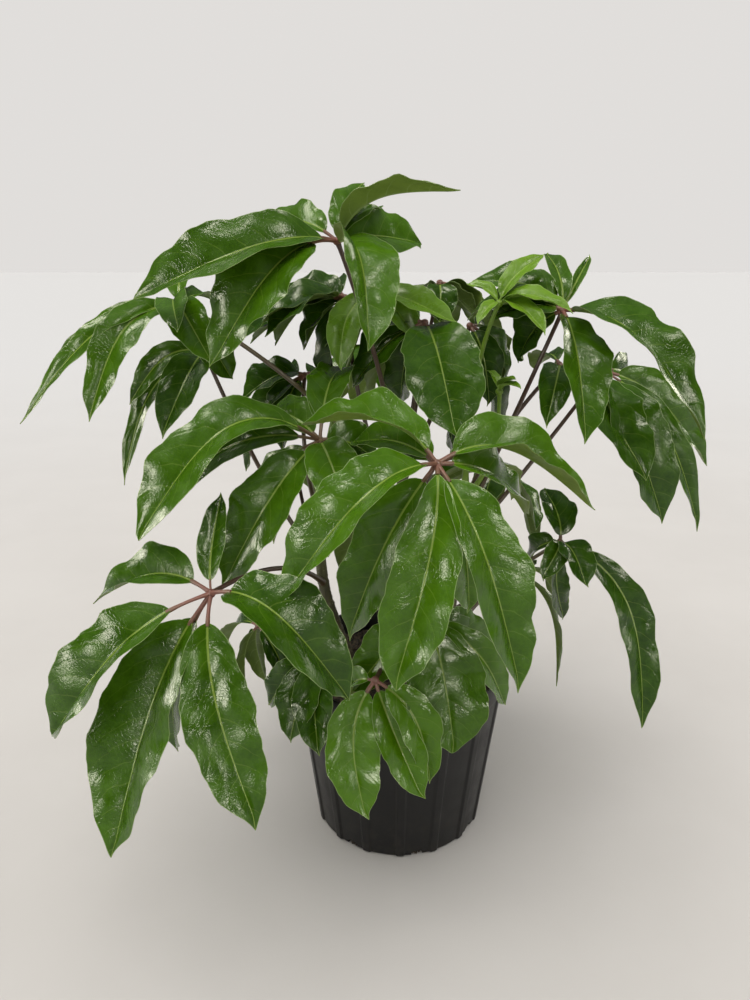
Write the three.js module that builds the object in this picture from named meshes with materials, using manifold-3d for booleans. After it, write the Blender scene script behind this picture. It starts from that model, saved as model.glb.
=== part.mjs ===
// Potted umbrella plant: three woody stems of palmate leaves, rooted in bark soil in a ribbed nursery pot.
// Millimetres, +Z up. The pot's axis is the Z axis and its flat underside stands on Z = 0.
import * as THREE from "three";
import { mergeVertices } from "three/addons/utils/BufferGeometryUtils.js";
import Module from "manifold-3d";

const wasm = await Module();
wasm.setup();

// ---- Driving dimensions ----

const SEAT_GAP = 0.3; // clearance between pieces that touch on the real plant

const POT = {
  height: 230,
  baseRadius: 110,
  neckRadius: 135, // just under the lip
  lipRadius: 140,
  lipHeight: 26,
  lipWall: 4, // the lip is rolled, so it is thicker than the wall
  wall: 2.6,
  floor: 3.5,
  edge: 2.5, // the rounding under the wall and on top of the lip
  lipBevel: 1,
  ribs: 16,
  ribOut: 2.2,
  ribAngles: [-3.4, -2.1, 2.1, 3.4], // degrees: foot, crest, crest and foot of one rib
  drains: 8,
  drainSize: [16, 15, 8], // inwards, along the wall and up
};

const SOIL = {
  edge: 198, // height of the surface at the wall
  crown: 6, // rise towards the middle
  lump: 4, // height of the bark lumps
  rings: [0.85, 0.55, 0.25], // radii of the lumpy surface as shares of the edge's
};

const STEM_SIDES = 8;
const HUB_RADIUS = 7; // the knob where a leaf's leaflets spread from its stalk

const PETIOLE = {
  sides: 5,
  steps: 5,
  radius: [3.4, 2.4], // at the stem, and at the hub
  flare: 1.4, // the swollen foot on the stem
  flareFade: 12, // how fast the swelling dies away along the stalk
};

const BLADE = {
  thickness: 0.9,
  fold: 13, // degrees that each half rises from the midrib
  stalk: 0.15, // share of a leaflet's length that is its bare stalk
  stalkRadius: [0.5, 1.4], // deep in the hub, and along its bare length
  sections: [0, 0.1, 0.32, 0.57, 0.8, 1], // places of the blade's cross-sections, base to tip
  shortLength: 172, // a leaflet shorter than this has the fewer sections
  shortSections: [0, 0.2, 0.5, 0.8, 1],
  fullness: [0.75, 0.8], // how fast the outline widens at the base and narrows at the tip
  wave: 0.035, // rise of the wavy margin as a share of the width
  waves: 2.3, // waves along one margin
  waveSteps: [1.7, 2], // radians from one leaflet's wave to the next one's, and between its two margins
  arch: 0.15, // usual height of the arch as a share of the length
};

const WHORL_SHORT = 0.86; // length of every second leaflet in an even whorl, as a share of the others'

const FINISH = {
  pot: { color: "#17181a", roughness: 0.4 },
  soil: { color: "#3a2b1f", roughness: 0.95 },
  stem: { color: "#6d6544", roughness: 0.7 },
  mature: { color: "#2f7a2a", roughness: 0.35 },
  young: { color: "#7cbf35", roughness: 0.35 },
};

// Each stem's axis, from inside the soil to its growing tip, and the radius at both ends.
const STEMS = {
  left: {
    axis: [[-58, 0, 110], [-64, 0, 205], [-80, 0, 262], [-96, 0, 320], [-102, 2, 385], [-100, 5, 455]],
    radius: [9.5, 5.5],
  },
  middle: {
    axis: [[8, -5, 110], [6, -5, 205], [2, -3, 300], [0, 0, 400], [3, 4, 490]],
    radius: [10, 5.5],
  },
  right: {
    axis: [[58, 15, 110], [62, 15, 205], [68, 13, 300], [74, 11, 380], [80, 8, 460]],
    radius: [9.5, 5.5],
  },
};

// The leaves. Each grows from a stem at a height, its stalk bends through "via", and its leaflets spread
// from the hub like an umbrella that faces "face". A leaflet is [x, y, z of its tip from the hub, width,
// arch, sideways bend, roll in degrees]; arch and bend are shares of its length, and what is left out is
// the usual value. A leaf deep in the plant has an even "whorl" instead: [leaflets, length, width, droop
// and turn in degrees].
const LEAVES = [
  {
    name: "leaf_front", on: ["middle", 385], via: [30, -110, 520], hub: [27, -190, 539], face: [0, -0.7, 1],
    leaflets: [
      [-134, 50, 30, 62, 0.22], [176, 60, -70, 60, 0.27], [-147, -70, -114, 64, 0.13],
      [-43, -90, -192, 64, 0.12, 0.05], [75, -70, -200, 62, 0.12, 0.1], [-89, 20, -198, 62, 0.1],
      [108, 90, -83, 58, 0.2], [43, 40, -177, 60, 0.1],
    ],
  },
  {
    name: "leaf_lower_left", on: ["left", 330], via: [-130, -120, 425], hub: [-190, -220, 418],
    face: [-0.2, -0.8, 1],
    leaflets: [
      [-140, 60, -34, 46, 0.3], [-151, -50, -127, 56, 0.18], [-93, -90, -235, 66, 0.06],
      [46, -90, -200, 60, 0.08, 0.1], [134, -50, -88, 58, 0.18], [4, 55, 82, 40, 0.1],
      [-62, 40, -208, 55, 0.1],
    ],
  },
  {
    name: "leaf_mid_left", on: ["left", 440], via: [-95, -60, 520], hub: [-90, -110, 543],
    face: [-0.1, -0.8, 1],
    leaflets: [
      [-170, -90, -77, 60, 0.29], [-187, -10, -74, 60, 0.2], [-102, -50, -138, 66, 0.2], [35, -70, -64, 50],
      [-65, 80, 14, 45],
    ],
  },
  {
    name: "leaf_top", on: ["middle", 460], via: [-18, -40, 600], hub: [-71, -60, 742], face: [-0.1, -0.7, 1],
    leaflets: [
      [-203, -60, -61, 64, 0.16], [-122, -80, -118, 66, 0.16], [-89, 90, 26, 46, 0.1],
      [32, -110, -100, 52, 0.12, 0.15], [116, -40, 49, 42, 0.2], [46, 60, 36, 34], [12, 50, 61, 30],
      [80, 80, -15, 42, 0.12],
    ],
  },
  {
    name: "leaf_far_left", on: ["middle", 440], via: [-90, 0, 580], hub: [-248, -20, 674],
    face: [-0.2, -0.9, 0.9],
    leaflets: [
      [-171, -60, -123, 38, 0.14], [-85, -90, -113, 46, 0.12], [-159, 20, -59, 40, 0.1], [21, -100, -17, 34],
      [-7, 80, 37, 30], [27, 60, 3, 28], [50, -90, -50, 40], [45, 40, -88, 38],
    ],
  },
  {
    name: "leaf_left", on: ["left", 355], via: [-170, 10, 450], hub: [-234, 20, 619],
    face: [-0.2, -0.9, 0.9],
    leaflets: [[-83, -40, -55, 38], [-97, -50, -148, 36], [-36, -90, -83, 58], [-40, 90, -60, 50]],
  },
  {
    name: "leaf_upper_right", on: ["right", 395], via: [125, -10, 530], hub: [177, -20, 670],
    face: [0.1, -0.8, 1],
    leaflets: [
      [147, -80, -126, 62, 0.25], [12, -100, -127, 54, 0.12, 0.08], [-96, 50, 30, 45], [-96, 80, -15, 60],
      [43, 60, 59, 12, 0.1], [-8, 70, 62, 24],
    ],
  },
  {
    name: "leaf_right", on: ["right", 370], via: [140, 35, 440], hub: [249, 50, 593], face: [0.3, -0.9, 0.8],
    leaflets: [
      [165, 40, -136, 56, 0.18], [33, -100, -112, 62, 0.12, -0.12], [76, -60, -180, 60, 0.12],
      [133, -30, -206, 50, 0.2], [60, 120, -60, 55],
    ],
  },
  {
    name: "leaf_right_small", on: ["right", 432], via: [125, 60, 520], hub: [188, 20, 604],
    face: [0, -0.7, 1],
    leaflets: [[-30, -80, -58, 38], [15, 75, -65, 30], [-10, 95, -20, 36]],
  },
  {
    name: "leaf_lower_right", on: ["right", 280], via: [130, 25, 325], hub: [211, 40, 371],
    face: [0.3, -0.8, 1],
    leaflets: [
      [117, -60, -243, 54, 0.28], [21, -60, -34, 30], [-13, 60, 56, 40], [25, 40, -135, 40],
      [-33, -50, -32, 30],
      [-33, -60, 65, 34],
    ],
  },
  {
    name: "leaf_low_back_right", on: ["right", 240], via: [120, 70, 290], hub: [170, 110, 300],
    face: [0.3, 0.3, 1],
    leaflets: [[54, -70, -150, 34], [-20, 60, -110, 45], [90, 60, -100, 45], [20, 100, -60, 45]],
  },
  {
    name: "leaf_centre", on: ["middle", 480], via: [15, 10, 560], hub: [25, 0, 655], face: [0, -0.6, 1],
    leaflets: [[30, -130, -92, 78, 0.2], [-60, 80, -100, 60], [-38, 110, -90, 56], [50, 60, -150, 50, 0.05]],
  },
  {
    name: "leaf_young_centre", on: ["left", 450], via: [-85, 5, 560], hub: [-35, 20, 688],
    face: [0, -0.6, 1],
    tone: "young",
    leaflets: [[-37, -70, -78, 34, 0.1], [91, -55, -30, 36, 0.2], [62, -30, -70, 30]],
  },
  {
    name: "leaf_young_right", on: ["right", 455], via: [75, -10, 600], hub: [104, -30, 678],
    face: [0, -0.5, 1],
    tone: "young",
    leaflets: [
      [51, 20, 51, 24], [73, -40, -6, 26], [44, -50, -28, 24], [-28, -30, -19, 14], [-35, 20, 20, 16],
    ],
  },
  {
    name: "leaf_bud_right", on: ["right", 440], via: [118, -15, 490], hub: [111, -20, 579],
    face: [0, -0.5, 1],
    tone: "young",
    leaflets: [[-8, 34, 20, 10], [13, -32, 20, 10], [18, -40, 11, 12]],
  },
  {
    name: "leaf_top_back_left", on: ["middle", 405], via: [-60, 60, 540], hub: [-67, 30, 681],
    face: [-0.3, -0.4, 1],
    leaflets: [[-90, -40, -41, 56], [-79, 60, 5, 48], [-55, 20, -62, 56], [-30, 120, -30, 50]],
  },
  {
    name: "leaf_low_front", on: ["middle", 250], via: [-10, -90, 290], hub: [-32, -170, 292],
    face: [0, -0.8, 1],
    leaflets: [[-11, -50, -142, 52, 0.1], [51, -40, -122, 46, 0.1], [-26, 60, -59, 32]],
  },
  {
    name: "leaf_low_front_right", on: ["right", 255], via: [60, -70, 330], hub: [25, -120, 345],
    face: [0, -0.8, 1],
    leaflets: [[15, -60, -135, 80, 0.12], [60, 60, -110, 50]],
  },
  {
    name: "leaf_low_left", on: ["left", 240], via: [-85, -45, 285], hub: [-104, -85, 268],
    face: [-0.2, -0.8, 1],
    leaflets: [[-28, -50, -80, 50, 0.1], [7, -70, -84, 46, 0.1], [-60, 10, -70, 40]],
  },
  {
    name: "leaf_low_back_left", on: ["left", 270], via: [-140, 60, 270], hub: [-202, 100, 218],
    face: [-0.4, 0.1, 1],
    leaflets: [[-24, 0, -108, 34, 0.1], [4, 25, -110, 34, 0.1], [46, -20, -87, 38, 0.1], [-60, 60, -60, 40]],
  },
  {
    name: "leaf_top_back", on: ["middle", 438], via: [20, 80, 560], hub: [51, 120, 695], face: [0, 0.2, 1],
    leaflets: [
      [-50, -10, -15, 38], [50, -10, -25, 40], [20, 110, -50, 50], [-70, 90, -40, 50], [95, 80, -60, 50],
    ],
  },
  {
    name: "leaf_inner_right", on: ["middle", 465], via: [50, 50, 560], hub: [82, 40, 648],
    face: [0, -0.6, 1],
    leaflets: [[25, -20, -93, 40], [50, 30, -80, 42], [45, 90, -70, 45]],
  },
  {
    name: "leaf_inner_left", on: ["left", 420], via: [-130, 50, 480], hub: [-120, 60, 586],
    face: [-0.2, -0.5, 1],
    leaflets: [[-77, -20, -22, 44], [-50, 80, -60, 55], [40, 66, -45, 50], [-30, -15, -95, 50]],
  },
  {
    name: "leaf_back_left", on: ["left", 300], via: [-130, 100, 380], hub: [-150, 190, 440],
    face: [-0.4, 0.5, 1],
    whorl: [6, 150, 54, 38, 10],
  },
  {
    name: "leaf_back", on: ["middle", 360], via: [0, 90, 480], hub: [-5, 235, 600], face: [0, 0.15, 1],
    whorl: [7, 165, 62, 38, 12],
  },
  {
    name: "leaf_back_right", on: ["right", 320], via: [110, 100, 380], hub: [145, 210, 415],
    face: [0.4, 0.5, 1],
    whorl: [6, 140, 52, 35, 25],
  },
  {
    name: "leaf_low_back", on: ["middle", 280], via: [-10, 90, 330], hub: [-20, 220, 350], face: [0, 0.6, 1],
    whorl: [6, 130, 48, 40, 15],
  },
];

// ---- Geometry helpers ----

// A closed three.js geometry as a solid that can be joined and cut.
function solidOf(geometry) {
  const bare = geometry.clone();
  bare.deleteAttribute("normal");
  bare.deleteAttribute("uv");
  const merged = mergeVertices(bare, 1e-3);
  return new wasm.Manifold(new wasm.Mesh({
    numProp: 3,
    vertProperties: new Float32Array(merged.attributes.position.array),
    triVerts: new Uint32Array(merged.index.array),
  }));
}

// A solid as a three.js geometry with flat faces.
function geometryOf(solid) {
  const mesh = solid.getMesh();
  const geometry = new THREE.BufferGeometry();
  geometry.setAttribute("position", new THREE.BufferAttribute(mesh.vertProperties, 3));
  geometry.setIndex(new THREE.BufferAttribute(mesh.triVerts, 1));
  return geometry;
}

const plant = new THREE.Group();

function place(name, solid, finish) {
  const material = new THREE.MeshStandardMaterial({ ...finish, metalness: 0, flatShading: true });
  const mesh = new THREE.Mesh(geometryOf(solid), material);
  mesh.name = name;
  plant.add(mesh);
}

// A closed solid through rings of points that run anticlockwise seen from ahead. A quad whose place is in
// "crossed" is split along its other diagonal.
function loft(rings, crossed = []) {
  const sides = rings[0].length;
  const faces = [];
  for (let r = 0; r + 1 < rings.length; r++) {
    for (let k = 0; k < sides; k++) {
      const a = r * sides + k;
      const b = r * sides + ((k + 1) % sides);
      const c = a + sides;
      const d = b + sides;
      if (crossed.includes(k)) faces.push(a, b, c, b, d, c);
      else faces.push(a, b, d, a, d, c);
    }
  }
  const last = (rings.length - 1) * sides;
  for (let k = 1; k + 1 < sides; k++) {
    faces.push(0, k + 1, k, last, last + k, last + k + 1);
  }
  const geometry = new THREE.BufferGeometry();
  geometry.setFromPoints(rings.flat());
  geometry.setIndex(faces);
  return geometry;
}

// A round stalk of changing radius along a curve. Its sides are counted from "up", which no stalk runs
// along.
function stalk(curve, steps, sides, radiusAt) {
  const rings = [];
  const up = new THREE.Vector3(0.31, 0.95, 0.05).normalize();
  for (let i = 0; i <= steps; i++) {
    const t = i / steps;
    const centre = curve.getPoint(t);
    const ahead = curve.getTangent(t);
    const across = new THREE.Vector3().crossVectors(up, ahead).normalize();
    const over = new THREE.Vector3().crossVectors(ahead, across);
    const ring = [];
    for (let k = 0; k < sides; k++) {
      const turn = (2 * Math.PI * k) / sides;
      ring.push(
        centre.clone()
          .addScaledVector(across, radiusAt(t) * Math.cos(turn))
          .addScaledVector(over, radiusAt(t) * Math.sin(turn)),
      );
    }
    rings.push(ring);
  }
  return loft(rings);
}

// ---- Stems ----

const vector = ([x, y, z]) => new THREE.Vector3(x, y, z);
const mix = (from, to, t) => from + (to - from) * t;

function stemCurve(stem) {
  return new THREE.CatmullRomCurve3(stem.axis.map(vector));
}

// A stem, or what it cuts from its neighbours: the same stem grown on every side.
function stemSolid(stem, grow = 0) {
  const radiusAt = (t) => mix(stem.radius[0], stem.radius[1], t) + grow;
  const curve = stemCurve(stem);
  curve.points.at(0).z -= grow;
  curve.points.at(-1).z += grow;
  return solidOf(stalk(curve, 2 * (stem.axis.length - 1), STEM_SIDES, radiusAt));
}

// The point of a stem's axis at a height, found by halving.
function stemAt(stem, height) {
  const curve = stemCurve(stem);
  let low = 0;
  let high = 1;
  while (high - low > 1e-6) {
    const middle = (low + high) / 2;
    if (curve.getPoint(middle).z < height) low = middle;
    else high = middle;
  }
  return curve.getPoint(low);
}

const grownStems = Object.values(STEMS).map((stem) => stemSolid(stem, SEAT_GAP));

// ---- Leaves ----

// Share of a blade's full width at a place from base (0) to tip (1).
function outline(s) {
  const [base, tip] = BLADE.fullness;
  const widest = base / (base + tip);
  const shape = (x) => x ** base * (1 - x) ** tip;
  return shape(s) / shape(widest);
}

// How high a leaflet's middle line stands over its chord, as a share of its arch, and how fast that
// changes. The stiff stalk holds the base up and the blade's weight draws the tip down, so it is highest
// before the middle.
const bulge = (t) => 4 * t * (1 - t) * (1.5 - t);
const bulgeRate = (t) => 4 * (1.5 - 5 * t + 3 * t * t);

// One leaflet: a thin bare stalk that opens into a folded, arched and waved blade.
function leaflet(hub, face, [dx, dy, dz, width, arch = BLADE.arch, bend = 0, roll = 0], phase) {
  const chord = new THREE.Vector3(dx, dy, dz);
  const length = chord.length();
  const along = chord.clone().normalize();
  const upper = face.clone().addScaledVector(along, -along.dot(face)).normalize();
  const side = new THREE.Vector3().crossVectors(upper, along);
  const lift = upper.clone().multiplyScalar(arch * length).addScaledVector(side, bend * length);

  // The frame of the leaflet's middle line at t: its centre, its left side and its upper side.
  const frameAt = (t) => {
    const centre = hub.clone().addScaledVector(chord, t).addScaledVector(lift, bulge(t));
    const ahead = chord.clone().addScaledVector(lift, bulgeRate(t)).normalize();
    const left = new THREE.Vector3().crossVectors(upper, ahead).normalize();
    left.applyAxisAngle(ahead, THREE.MathUtils.degToRad(roll) * Math.min(1, t / BLADE.stalk));
    return { centre, left, over: new THREE.Vector3().crossVectors(ahead, left) };
  };
  const ringAt = (t, halfWidth, edgeLifts, middle, below) => {
    const { centre, left, over } = frameAt(t);
    const point = (across, up) => centre.clone().addScaledVector(left, across).addScaledVector(over, up);
    return [
      point(halfWidth, edgeLifts[0]),
      point(0, middle),
      point(-halfWidth, edgeLifts[1]),
      point(-halfWidth, edgeLifts[1] - below),
      point(0, middle - below),
      point(halfWidth, edgeLifts[0] - below),
    ];
  };
  const [rootRadius, stalkRadius] = BLADE.stalkRadius;
  const rings = [ringAt(0, rootRadius, [rootRadius / 2, rootRadius / 2], rootRadius, 2 * rootRadius)];
  const fold = THREE.MathUtils.degToRad(BLADE.fold);
  for (const s of length < BLADE.shortLength ? BLADE.shortSections : BLADE.sections) {
    const half = Math.max((outline(s) * width) / 2, s < 0.5 ? stalkRadius : stalkRadius / 2);
    const margin = (turn) => half * Math.sin(fold)
      + BLADE.wave * width * Math.sin(Math.PI * s) * Math.sin(2 * Math.PI * BLADE.waves * s + turn);
    const edges = [margin(phase), margin(phase + BLADE.waveSteps[1])];
    rings.push(ringAt(mix(BLADE.stalk, 1, s), half * Math.cos(fold), edges, 0, BLADE.thickness));
  }
  return solidOf(loft(rings, [1, 4]));
}

// The leaflets of an even whorl round the direction that the leaf faces, every second one a little shorter.
function whorlRows([count, length, width, droop, turn], face) {
  const axis = face.clone().normalize();
  const first = new THREE.Vector3(1, 0, 0).addScaledVector(axis, -axis.x).normalize();
  const second = new THREE.Vector3().crossVectors(axis, first);
  return Array.from({ length: count }, (_, i) => {
    const heading = THREE.MathUtils.degToRad(turn + (360 * i) / count);
    const fall = THREE.MathUtils.degToRad(droop);
    const tip = first.clone().multiplyScalar(Math.cos(heading)).addScaledVector(second, Math.sin(heading))
      .multiplyScalar(Math.cos(fall)).addScaledVector(axis, -Math.sin(fall))
      .multiplyScalar(i % 2 ? WHORL_SHORT * length : length);
    return [tip.x, tip.y, tip.z, width];
  });
}

function leaf({ on, via, hub, face, leaflets, whorl }, number) {
  const stem = STEMS[on[0]];
  const root = stemAt(stem, on[1]);
  const centre = vector(hub);
  const curve = new THREE.QuadraticBezierCurve3(root, vector(via), centre);
  const radiusAt = (t) => mix(...PETIOLE.radius, t) + PETIOLE.flare * Math.exp(-PETIOLE.flareFade * t);
  const petiole = solidOf(stalk(curve, PETIOLE.steps, PETIOLE.sides, radiusAt));
  const knob = solidOf(new THREE.OctahedronGeometry(HUB_RADIUS).translate(...hub));
  const rows = leaflets ?? whorlRows(whorl, vector(face));
  const blades = rows.map((row, i) => leaflet(centre, vector(face), row, BLADE.waveSteps[0] * i + number));
  const whole = wasm.Manifold.union([petiole, knob, ...blades]);
  return grownStems.reduce((left, cut) => left.subtract(cut), whole);
}

LEAVES.forEach((row, number) => {
  place(row.name, leaf(row, number), FINISH[row.tone ?? "mature"]);
});

for (const [name, stem] of Object.entries(STEMS)) {
  place(`stem_${name}`, stemSolid(stem), FINISH.stem);
}

// ---- Pot and soil ----

// A turned solid whose profile of [radius, height] runs from the axis outwards and back to it. Its sectors
// are the pot's rib angles, and "shape" may move a point of the profile: it gets the point, its place and
// the rib angle's.
function turned(profile, shape) {
  const perRib = POT.ribAngles.length;
  const sectors = POT.ribs * perRib;
  const lathe = new THREE.LatheGeometry(profile.map(([r, z]) => new THREE.Vector2(r, z)), sectors);
  const spots = lathe.attributes.position;
  for (let v = 0; v < spots.count; v++) {
    const sector = Math.floor(v / profile.length) % sectors;
    const place = v % profile.length;
    const crest = sector % perRib;
    const degrees = (360 / POT.ribs) * Math.floor(sector / perRib) + POT.ribAngles[crest];
    const turn = THREE.MathUtils.degToRad(degrees);
    const [radius, height] = shape(profile[place], place, crest, sector);
    spots.setXYZ(v, radius * Math.cos(turn), radius * Math.sin(turn), height);
  }
  return solidOf(lathe);
}

function potSolid() {
  const neck = POT.height - POT.lipHeight;
  const lipInside = POT.lipRadius - POT.lipWall;
  const profile = [
    [0, 0], [POT.baseRadius - POT.edge, 0], [POT.baseRadius, POT.edge], [POT.neckRadius, neck],
    [POT.lipRadius - POT.lipBevel, neck + POT.lipBevel], [POT.lipRadius, POT.height - POT.edge],
    [POT.lipRadius - POT.lipBevel, POT.height],
    [lipInside, POT.height], [POT.neckRadius - POT.wall, neck], [POT.baseRadius - POT.wall, POT.floor],
    [0, POT.floor],
  ];
  const wallPlaces = [2, 3];
  const ribbed = ([radius, height], place, crest) => {
    const onCrest = wallPlaces.includes(place) && (crest === 1 || crest === 2);
    return [onCrest ? radius + POT.ribOut : radius, height];
  };
  let pot = turned(profile, ribbed);
  const [inwards, alongWall, up] = POT.drainSize;
  for (let i = 0; i < POT.drains; i++) {
    const drain = new THREE.BoxGeometry(inwards, alongWall, 2 * up)
      .translate(POT.baseRadius, 0, 0)
      .rotateZ((2 * Math.PI * i) / POT.drains + Math.PI / POT.ribs);
    pot = pot.subtract(solidOf(drain));
  }
  return pot;
}

// The same scattered number from 0 to 1 for the same two counts.
function scatter(i, j) {
  const mixed = 4375.85 * Math.sin(12.9 * (i + 1) + 78.2 * (j + 1));
  return mixed - Math.floor(mixed);
}

function soilSolid() {
  const neck = POT.height - POT.lipHeight;
  const wallAt = (z) => mix(POT.baseRadius, POT.neckRadius, (z - POT.floor) / (neck - POT.floor)) - POT.wall;
  const bottom = POT.floor + SEAT_GAP;
  const rim = wallAt(SOIL.edge) - SEAT_GAP;
  const surface = SOIL.rings.map((share) => [rim * share, SOIL.edge + SOIL.crown * (1 - share * share)]);
  const profile = [
    [0, bottom], [wallAt(bottom) - SEAT_GAP, bottom], [rim, SOIL.edge],
    ...surface, [0, SOIL.edge + SOIL.crown],
  ];
  const lumps = ([radius, height], place, crest, sector) => {
    const onSurface = height > SOIL.edge && radius > 0;
    return [radius, onSurface ? height + SOIL.lump * (scatter(place, sector) - 0.5) : height];
  };
  return grownStems.reduce((left, cut) => left.subtract(cut), turned(profile, lumps));
}

place("pot", potSolid(), FINISH.pot);
place("soil", soilSolid(), FINISH.soil);

export default plant;
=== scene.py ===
"""A potted umbrella plant: three woody stems of glossy palmate leaves in a black ribbed nursery pot.

Metres, +Z up, the pot's axis on Z and its underside at Z = 0.
"""

import math

import bmesh
import bpy
import numpy as np
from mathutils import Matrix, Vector


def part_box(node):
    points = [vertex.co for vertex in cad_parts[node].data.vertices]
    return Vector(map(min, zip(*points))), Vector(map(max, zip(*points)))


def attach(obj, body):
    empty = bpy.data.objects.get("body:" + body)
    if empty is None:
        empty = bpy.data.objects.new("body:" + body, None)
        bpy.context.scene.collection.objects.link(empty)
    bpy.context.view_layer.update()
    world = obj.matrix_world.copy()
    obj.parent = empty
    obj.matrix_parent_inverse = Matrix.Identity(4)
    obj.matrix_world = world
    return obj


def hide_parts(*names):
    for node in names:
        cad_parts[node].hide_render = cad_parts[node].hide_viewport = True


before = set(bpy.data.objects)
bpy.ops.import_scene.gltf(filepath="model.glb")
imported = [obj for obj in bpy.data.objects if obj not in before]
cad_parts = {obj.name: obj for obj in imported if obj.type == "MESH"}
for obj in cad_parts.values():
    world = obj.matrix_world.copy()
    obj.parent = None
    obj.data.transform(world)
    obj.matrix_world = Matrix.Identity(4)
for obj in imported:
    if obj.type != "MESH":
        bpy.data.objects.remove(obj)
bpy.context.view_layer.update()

# ---- The pot ----
# A thin injection-moulded nursery pot of black polypropylene. Sixteen ribs stiffen its tapered wall, the
# mouth is rolled into a lip, and drain holes are cut through the foot of the wall. Moulded in one piece.

MM = 0.001
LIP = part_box("pot")[1].z  # height of the pot
RIBS, RIB_RISE = 16, 2.2 * MM
RIB_TOP, RIB_FLANK = 1.9, 1.7  # degrees round the pot: half of a rib's flat top, and the slope beside it
BASE_RADIUS, NECK_RADIUS, LIP_RADIUS = 110 * MM, 135 * MM, 140 * MM
NECK, WALL, POT_FLOOR = 204 * MM, 2.6 * MM, 3.5 * MM
DRAINS, DRAIN_HALF_WIDTH, DRAIN_HEIGHT = 8, 7.5 * MM, 8 * MM


def new_object(name, data):
    """An object in the scene, made of a mesh, a light or a lens."""
    made = bpy.data.objects.new(name, data)
    bpy.context.scene.collection.objects.link(made)
    return made


def mesh_piece(name, points, faces, materials, face_materials=None, crease=50):
    """A mesh object on the plant's body, smooth but for edges sharper than crease degrees."""
    mesh = bpy.data.meshes.new(name)
    mesh.from_pydata(np.asarray(points).tolist(), [], [list(face) for face in faces])
    for material in materials:
        mesh.materials.append(material)
    if face_materials is not None:
        mesh.polygons.foreach_set("material_index", np.asarray(face_materials, np.int32))
    mesh.shade_smooth()
    mesh.set_sharp_from_angle(angle=math.radians(crease))
    return new_object(name, mesh)


def grid_faces(rows, columns, wrap=False, first=0):
    """Quads over a grid of points stored row by row. With wrap, the last column joins the first."""
    row, column = np.meshgrid(np.arange(rows - 1), np.arange(columns if wrap else columns - 1), indexing="ij")
    beside = (column + 1) % columns
    corners = [row * columns + column, row * columns + beside,
               (row + 1) * columns + beside, (row + 1) * columns + column]
    return first + np.stack(corners, -1).reshape(-1, 4)


def wire(tree, value, socket):
    """A socket set to a value, or fed by the socket of another node."""
    if isinstance(value, bpy.types.NodeSocket):
        tree.links.new(value, socket)
    else:
        socket.default_value = value


def add(tree, kind, inputs, **settings):
    """A shader node with its settings and inputs, which are values or the sockets of other nodes."""
    node = tree.nodes.new(kind)
    for key, value in settings.items():
        setattr(node, key, value)
    for key, value in inputs.items():
        wire(tree, value, node.inputs[key])
    return node


def maths(tree, operation, *values):
    return add(tree, "ShaderNodeMath", dict(enumerate(values)), operation=operation).outputs[0]


def times(tree, first, second):
    return maths(tree, "MULTIPLY", first, second)


def rest_of(tree, share):
    """What a share from 0 to 1 leaves of one."""
    return maths(tree, "SUBTRACT", 1.0, share)


def vary(tree, value, amount):
    """A change up or down, amount times as far as the value is from a half."""
    return times(tree, maths(tree, "SUBTRACT", value, 0.5), amount)


def fade(tree, value, start, end, low=0.0, high=1.0):
    """A smooth change from low to high while value goes from start to end."""
    inputs = {"Value": value, "From Min": start, "From Max": end, "To Min": low, "To Max": high}
    node = add(tree, "ShaderNodeMapRange", inputs, interpolation_type="SMOOTHSTEP")
    return node.outputs["Result"]


def blend(tree, share, first, second):
    """A colour between two, by a share from 0 to 1."""
    colour_sockets = {0: share, 6: first, 7: second}
    return add(tree, "ShaderNodeMix", colour_sockets, data_type="RGBA").outputs[2]


def noise(tree, where, scale, detail=4.0, roughness=0.55):
    inputs = {"Vector": where, "Scale": scale, "Detail": detail, "Roughness": roughness}
    return add(tree, "ShaderNodeTexNoise", inputs).outputs["Fac"]


def place_on(tree):
    """Where a point of the surface is, in the plant's own metres."""
    return add(tree, "ShaderNodeTexCoord", {}).outputs["Object"]


def stretch(tree, where, scale):
    return add(tree, "ShaderNodeMapping", {"Vector": where, "Scale": scale}).outputs["Vector"]


def axes_of(tree, vector):
    return add(tree, "ShaderNodeSeparateXYZ", {"Vector": vector}).outputs


def group(name, inputs, outputs):
    """A new shader node group of plain numbers: inputs with their usual values, and the outputs' names."""
    tree = bpy.data.node_groups.new(name, "ShaderNodeTree")
    for socket_name, value in inputs.items():
        socket = tree.interface.new_socket(socket_name, in_out="INPUT", socket_type="NodeSocketFloat")
        socket.default_value = value
    for socket_name in outputs:
        tree.interface.new_socket(socket_name, in_out="OUTPUT", socket_type="NodeSocketFloat")
    return tree, tree.nodes.new("NodeGroupInput").outputs, tree.nodes.new("NodeGroupOutput").inputs


def use(tree, group_tree, inputs):
    """A group placed in a material, with its own values."""
    return add(tree, "ShaderNodeGroup", inputs, node_tree=group_tree).outputs


def new_material(name):
    material = bpy.data.materials.new(name)
    material.use_nodes = True
    return material, material.node_tree, material.node_tree.nodes["Principled BSDF"]


def give_surface(tree, shader, colour, roughness, specular=0.5):
    """A material's colour, its roughness and how strongly it mirrors when seen straight on."""
    wire(tree, colour, shader.inputs["Base Color"])
    wire(tree, roughness, shader.inputs["Roughness"])
    shader.inputs["Specular IOR Level"].default_value = specular


def give_relief(tree, shader, height, strength, distance):
    """Fine relief in a material's surface, distance metres high."""
    bump = add(tree, "ShaderNodeBump", {"Strength": strength, "Distance": distance, "Height": height})
    tree.links.new(bump.outputs["Normal"], shader.inputs["Normal"])


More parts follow.
